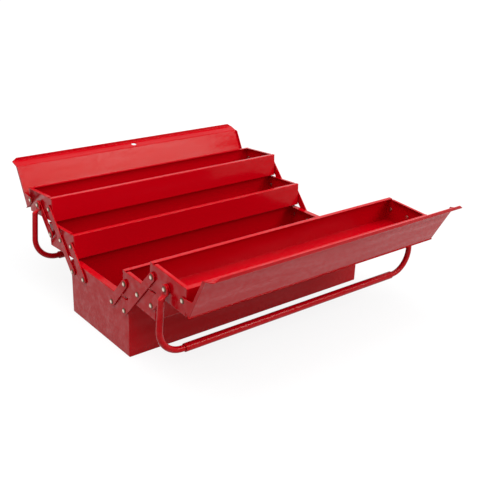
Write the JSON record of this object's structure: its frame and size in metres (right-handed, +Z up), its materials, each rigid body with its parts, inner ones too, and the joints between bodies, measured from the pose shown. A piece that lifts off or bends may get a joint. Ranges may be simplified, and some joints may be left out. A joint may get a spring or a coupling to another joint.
{
  "type": "cantilever tool box",
  "caption": "Folded-steel cantilever tool box, standing open: riveted arms swing trays, hinged lids and bail handles out to both long sides of a base.",
  "frame": {"origin": "middle of the base's underside, on the surface it stands on", "axes": "+Z up, X along the box, Y across it: the back half lies at +Y and the front half at -Y"},
  "size_m": [0.571, 0.661, 0.2333],
  "materials": {
    "red_paint": "glossy enamel",
    "rivet_steel": "zinc plated, semi-bright"
  },
  "bodies": {
    "base": {"base_box": "red_paint", "base_rivets": "rivet_steel", "base_washers": "rivet_steel"},
    "front_long_arms": {"front_left_long_arm": "red_paint", "front_right_long_arm": "red_paint"},
    "front_mid_tray_unit": {"front_mid_tray": "red_paint", "front_mid_rivets": "rivet_steel", "front_mid_washers": "rivet_steel"},
    "front_top_tray_unit": {"front_top_tray": "red_paint", "front_top_rivets": "rivet_steel", "front_top_washers": "rivet_steel", "front_handle_rivets": "rivet_steel", "front_lid_rivets": "rivet_steel"},
    "front_lower_arms": {"front_left_lower_arm": "red_paint", "front_right_lower_arm": "red_paint"},
    "front_upper_arms": {"front_left_upper_arm": "red_paint", "front_right_upper_arm": "red_paint"},
    "front_lid_unit": {"front_lid": "red_paint"},
    "front_handle_unit": {"front_handle": "red_paint", "front_grip": "red_paint"},
    "back_long_arms": {"back_left_long_arm": "red_paint", "back_right_long_arm": "red_paint"},
    "back_mid_tray_unit": {"back_mid_tray": "red_paint", "back_mid_rivets": "rivet_steel", "back_mid_washers": "rivet_steel"},
    "back_top_tray_unit": {"back_top_tray": "red_paint", "back_top_rivets": "rivet_steel", "back_top_washers": "rivet_steel", "back_handle_rivets": "rivet_steel", "back_lid_rivets": "rivet_steel"},
    "back_lower_arms": {"back_left_lower_arm": "red_paint", "back_right_lower_arm": "red_paint"},
    "back_upper_arms": {"back_left_upper_arm": "red_paint", "back_right_upper_arm": "red_paint"},
    "back_lid_unit": {"back_lid": "red_paint"},
    "back_handle_unit": {"back_handle": "red_paint", "back_grip": "red_paint"}
  },
  "joints": [
    {"name": "front_fold", "type": "hinge", "parent": "base", "child": "front_long_arms", "pos_m": [0, -0.0905, 0.084], "axis": [-1, 0, 0], "range_deg": [0, 81.99]},
    {"name": "front_mid_tray_turn", "type": "hinge", "parent": "front_long_arms", "child": "front_mid_tray_unit", "pos_m": [0, -0.13246, 0.1303], "axis": [-1, 0, 0], "range_deg": [-79, 0]},
    {"name": "front_top_tray_turn", "type": "hinge", "parent": "front_long_arms", "child": "front_top_tray_unit", "pos_m": [0, -0.17441, 0.1766], "axis": [-1, 0, 0], "range_deg": [-77.8, 0]},
    {"name": "front_lower_arm_turn", "type": "hinge", "parent": "base", "child": "front_lower_arms", "pos_m": [0, -0.05, 0.084], "axis": [-1, 0, 0], "range_deg": [0, 80.76]},
    {"name": "front_upper_arm_turn", "type": "hinge", "parent": "front_mid_tray_unit", "child": "front_upper_arms", "pos_m": [0, -0.1729, 0.12818], "axis": [-1, 0, 0], "range_deg": [0, 79.49]},
    {"name": "front_lid_turn", "type": "hinge", "parent": "front_top_tray_unit", "child": "front_lid_unit", "pos_m": [0, -0.2552, 0.17067], "axis": [-1, 0, 0], "range_deg": [0, 113.81]},
    {"name": "front_handle_turn", "type": "hinge", "parent": "front_top_tray_unit", "child": "front_handle_unit", "pos_m": [0, -0.2148, 0.17363], "axis": [-1, 0, 0], "range_deg": [0, 199.1]},
    {"name": "back_fold", "type": "hinge", "parent": "base", "child": "back_long_arms", "pos_m": [0, 0.0905, 0.084], "axis": [1, 0, 0], "range_deg": [0, 81.99]},
    {"name": "back_mid_tray_turn", "type": "hinge", "parent": "back_long_arms", "child": "back_mid_tray_unit", "pos_m": [0, 0.13246, 0.1303], "axis": [1, 0, 0], "range_deg": [-79, 0]},
    {"name": "back_top_tray_turn", "type": "hinge", "parent": "back_long_arms", "child": "back_top_tray_unit", "pos_m": [0, 0.17441, 0.1766], "axis": [1, 0, 0], "range_deg": [-77.8, 0]},
    {"name": "back_lower_arm_turn", "type": "hinge", "parent": "base", "child": "back_lower_arms", "pos_m": [0, 0.05, 0.084], "axis": [1, 0, 0], "range_deg": [0, 80.76]},
    {"name": "back_upper_arm_turn", "type": "hinge", "parent": "back_mid_tray_unit", "child": "back_upper_arms", "pos_m": [0, 0.1729, 0.12818], "axis": [1, 0, 0], "range_deg": [0, 79.49]},
    {"name": "back_lid_turn", "type": "hinge", "parent": "back_top_tray_unit", "child": "back_lid_unit", "pos_m": [0, 0.2552, 0.17067], "axis": [1, 0, 0], "range_deg": [0, 113.81]},
    {"name": "back_handle_turn", "type": "hinge", "parent": "back_top_tray_unit", "child": "back_handle_unit", "pos_m": [0, 0.2148, 0.17363], "axis": [1, 0, 0], "range_deg": [0, 199.1]}
  ],
  "couplings": [
    {"joint": "front_mid_tray_turn", "follows": "front_fold", "ratio": -0.96341},
    {"joint": "front_top_tray_turn", "follows": "front_fold", "ratio": -0.94877},
    {"joint": "front_lower_arm_turn", "follows": "front_fold", "ratio": 0.98493},
    {"joint": "front_upper_arm_turn", "follows": "front_fold", "ratio": 0.96939},
    {"joint": "front_lid_turn", "follows": "front_fold", "ratio": 1.388},
    {"joint": "front_handle_turn", "follows": "front_fold", "ratio": 2.4283},
    {"joint": "back_mid_tray_turn", "follows": "back_fold", "ratio": -0.96341},
    {"joint": "back_top_tray_turn", "follows": "back_fold", "ratio": -0.94877},
    {"joint": "back_lower_arm_turn", "follows": "back_fold", "ratio": 0.98493},
    {"joint": "back_upper_arm_turn", "follows": "back_fold", "ratio": 0.96939},
    {"joint": "back_lid_turn", "follows": "back_fold", "ratio": 1.388},
    {"joint": "back_handle_turn", "follows": "back_fold", "ratio": 2.4283}
  ]
}
